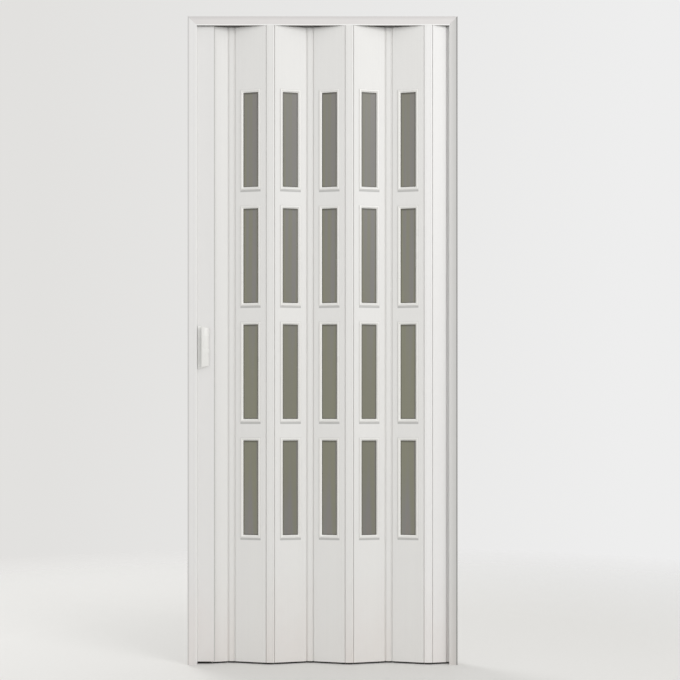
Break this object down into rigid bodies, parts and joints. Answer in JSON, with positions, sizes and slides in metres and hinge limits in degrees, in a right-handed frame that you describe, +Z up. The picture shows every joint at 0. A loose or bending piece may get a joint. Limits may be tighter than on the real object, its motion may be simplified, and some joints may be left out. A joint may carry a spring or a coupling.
{
  "type": "accordion door",
  "caption": "White folding door: glazed hollow leaves joined by hinge links, hung from a head track between two jamb profiles, with a closing post and a hooded pull.",
  "frame": {"origin": "on the floor at the middle of the frame's width, in the plane of the track, which is the middle of its depth", "axes": "+X to the right along the doorway seen from the front, +Y to the back, +Z up"},
  "size_m": [0.853, 0.046, 2.05],
  "materials": {
    "frame_pvc": "satin white extruded PVC",
    "hinge_pvc": "satin white extruded PVC",
    "leaf_pvc": "satin white extruded PVC with a fine embossed wood grain",
    "post_pvc": "satin white extruded PVC",
    "bezel_plastic": "smooth white moulded plastic",
    "pane_acrylic": "smoked translucent pane with faint upright streaks",
    "nylon": "natural nylon",
    "steel": "zinc plated",
    "magnet": "dull brown flexible magnet",
    "handle_plastic": "smooth off-white moulded plastic"
  },
  "bodies": {
    "frame": {"head_track": "frame_pvc", "runway_front": "steel", "runway_rear": "steel", "strike_jamb": "frame_pvc", "fixing_jamb": "frame_pvc", "fixing_strip": "hinge_pvc", "keeper_strip": "steel", "corner_bracket_left": "steel", "corner_bracket_right": "steel"},
    "half_leaf_fixing": {"half_leaf_fixing": "leaf_pvc"},
    "link_6": {"link_6": "hinge_pvc"},
    "leaf_5": {"leaf_5_shell": "leaf_pvc", "leaf_5_bezels_front": "bezel_plastic", "leaf_5_bezels_rear": "bezel_plastic", "leaf_5_panes": "pane_acrylic", "leaf_5_hanger": "nylon"},
    "glider_5": {"glider_5": "nylon"},
    "link_5": {"link_5": "hinge_pvc"},
    "leaf_4": {"leaf_4_shell": "leaf_pvc", "leaf_4_bezels_front": "bezel_plastic", "leaf_4_bezels_rear": "bezel_plastic", "leaf_4_panes": "pane_acrylic", "leaf_4_hanger": "nylon"},
    "glider_4": {"glider_4": "nylon"},
    "link_4": {"link_4": "hinge_pvc"},
    "leaf_3": {"leaf_3_shell": "leaf_pvc", "leaf_3_bezels_front": "bezel_plastic", "leaf_3_bezels_rear": "bezel_plastic", "leaf_3_panes": "pane_acrylic", "leaf_3_hanger": "nylon"},
    "glider_3": {"glider_3": "nylon"},
    "link_3": {"link_3": "hinge_pvc"},
    "leaf_2": {"leaf_2_shell": "leaf_pvc", "leaf_2_bezels_front": "bezel_plastic", "leaf_2_bezels_rear": "bezel_plastic", "leaf_2_panes": "pane_acrylic", "leaf_2_hanger": "nylon"},
    "glider_2": {"glider_2": "nylon"},
    "link_2": {"link_2": "hinge_pvc"},
    "leaf_1": {"leaf_1_shell": "leaf_pvc", "leaf_1_bezels_front": "bezel_plastic", "leaf_1_bezels_rear": "bezel_plastic", "leaf_1_panes": "pane_acrylic", "leaf_1_hanger": "nylon"},
    "glider_1": {"glider_1": "nylon"},
    "link_1": {"link_1": "hinge_pvc"},
    "half_leaf_closing": {"half_leaf_closing": "leaf_pvc"},
    "post": {"closing_post": "post_pvc", "post_hanger": "nylon", "magnet_strip": "magnet", "handle_front": "handle_plastic", "handle_rear": "handle_plastic", "handle_screws": "steel"}
  },
  "joints": [
    {"name": "fixed_fold", "type": "hinge", "parent": "frame", "child": "half_leaf_fixing", "pos_m": [0.3971, 0, 1.0145], "axis": [0, 0, 1], "range_deg": [0, 71.16]},
    {"name": "link_6_right_pivot", "type": "hinge", "parent": "half_leaf_fixing", "child": "link_6", "pos_m": [0.3432, -0.01328, 1.0145], "axis": [0, 0, 1], "range_deg": [-71.16, 0]},
    {"name": "link_6_left_pivot", "type": "hinge", "parent": "link_6", "child": "leaf_5", "pos_m": [0.326, -0.01328, 1.0145], "axis": [0, 0, 1], "range_deg": [-71.16, 0]},
    {"name": "glider_5_turn", "type": "hinge", "parent": "leaf_5", "child": "glider_5", "pos_m": [0.2721, 0, 1.0145], "axis": [0, 0, 1], "range_deg": [0, 71.16]},
    {"name": "link_5_right_pivot", "type": "hinge", "parent": "leaf_5", "child": "link_5", "pos_m": [0.2182, 0.01328, 1.0145], "axis": [0, 0, 1], "range_deg": [0, 71.16]},
    {"name": "link_5_left_pivot", "type": "hinge", "parent": "link_5", "child": "leaf_4", "pos_m": [0.201, 0.01328, 1.0145], "axis": [0, 0, 1], "range_deg": [0, 71.16]},
    {"name": "glider_4_turn", "type": "hinge", "parent": "leaf_4", "child": "glider_4", "pos_m": [0.1471, 0, 1.0145], "axis": [0, 0, 1], "range_deg": [-71.16, 0]},
    {"name": "link_4_right_pivot", "type": "hinge", "parent": "leaf_4", "child": "link_4", "pos_m": [0.0932, -0.01328, 1.0145], "axis": [0, 0, 1], "range_deg": [-71.16, 0]},
    {"name": "link_4_left_pivot", "type": "hinge", "parent": "link_4", "child": "leaf_3", "pos_m": [0.076, -0.01328, 1.0145], "axis": [0, 0, 1], "range_deg": [-71.16, 0]},
    {"name": "glider_3_turn", "type": "hinge", "parent": "leaf_3", "child": "glider_3", "pos_m": [0.0221, 0, 1.0145], "axis": [0, 0, 1], "range_deg": [0, 71.16]},
    {"name": "link_3_right_pivot", "type": "hinge", "parent": "leaf_3", "child": "link_3", "pos_m": [-0.0318, 0.01328, 1.0145], "axis": [0, 0, 1], "range_deg": [0, 71.16]},
    {"name": "link_3_left_pivot", "type": "hinge", "parent": "link_3", "child": "leaf_2", "pos_m": [-0.049, 0.01328, 1.0145], "axis": [0, 0, 1], "range_deg": [0, 71.16]},
    {"name": "glider_2_turn", "type": "hinge", "parent": "leaf_2", "child": "glider_2", "pos_m": [-0.1029, 0, 1.0145], "axis": [0, 0, 1], "range_deg": [-71.16, 0]},
    {"name": "link_2_right_pivot", "type": "hinge", "parent": "leaf_2", "child": "link_2", "pos_m": [-0.1568, -0.01328, 1.0145], "axis": [0, 0, 1], "range_deg": [-71.16, 0]},
    {"name": "link_2_left_pivot", "type": "hinge", "parent": "link_2", "child": "leaf_1", "pos_m": [-0.174, -0.01328, 1.0145], "axis": [0, 0, 1], "range_deg": [-71.16, 0]},
    {"name": "glider_1_turn", "type": "hinge", "parent": "leaf_1", "child": "glider_1", "pos_m": [-0.2279, 0, 1.0145], "axis": [0, 0, 1], "range_deg": [0, 71.16]},
    {"name": "link_1_right_pivot", "type": "hinge", "parent": "leaf_1", "child": "link_1", "pos_m": [-0.2818, 0.01328, 1.0145], "axis": [0, 0, 1], "range_deg": [0, 71.16]},
    {"name": "link_1_left_pivot", "type": "hinge", "parent": "link_1", "child": "half_leaf_closing", "pos_m": [-0.299, 0.01328, 1.0145], "axis": [0, 0, 1], "range_deg": [0, 71.16]},
    {"name": "post_pivot", "type": "hinge", "parent": "half_leaf_closing", "child": "post", "pos_m": [-0.3529, 0, 1.0145], "axis": [0, 0, 1], "range_deg": [-71.16, 0]}
  ],
  "couplings": [
    {"joint": "link_6_right_pivot", "follows": "fixed_fold", "ratio": -1},
    {"joint": "link_6_left_pivot", "follows": "fixed_fold", "ratio": -1},
    {"joint": "glider_5_turn", "follows": "fixed_fold", "ratio": 1},
    {"joint": "link_5_right_pivot", "follows": "fixed_fold", "ratio": 1},
    {"joint": "link_5_left_pivot", "follows": "fixed_fold", "ratio": 1},
    {"joint": "glider_4_turn", "follows": "fixed_fold", "ratio": -1},
    {"joint": "link_4_right_pivot", "follows": "fixed_fold", "ratio": -1},
    {"joint": "link_4_left_pivot", "follows": "fixed_fold", "ratio": -1},
    {"joint": "glider_3_turn", "follows": "fixed_fold", "ratio": 1},
    {"joint": "link_3_right_pivot", "follows": "fixed_fold", "ratio": 1},
    {"joint": "link_3_left_pivot", "follows": "fixed_fold", "ratio": 1},
    {"joint": "glider_2_turn", "follows": "fixed_fold", "ratio": -1},
    {"joint": "link_2_right_pivot", "follows": "fixed_fold", "ratio": -1},
    {"joint": "link_2_left_pivot", "follows": "fixed_fold", "ratio": -1},
    {"joint": "glider_1_turn", "follows": "fixed_fold", "ratio": 1},
    {"joint": "link_1_right_pivot", "follows": "fixed_fold", "ratio": 1},
    {"joint": "link_1_left_pivot", "follows": "fixed_fold", "ratio": 1},
    {"joint": "post_pivot", "follows": "fixed_fold", "ratio": -1}
  ]
}
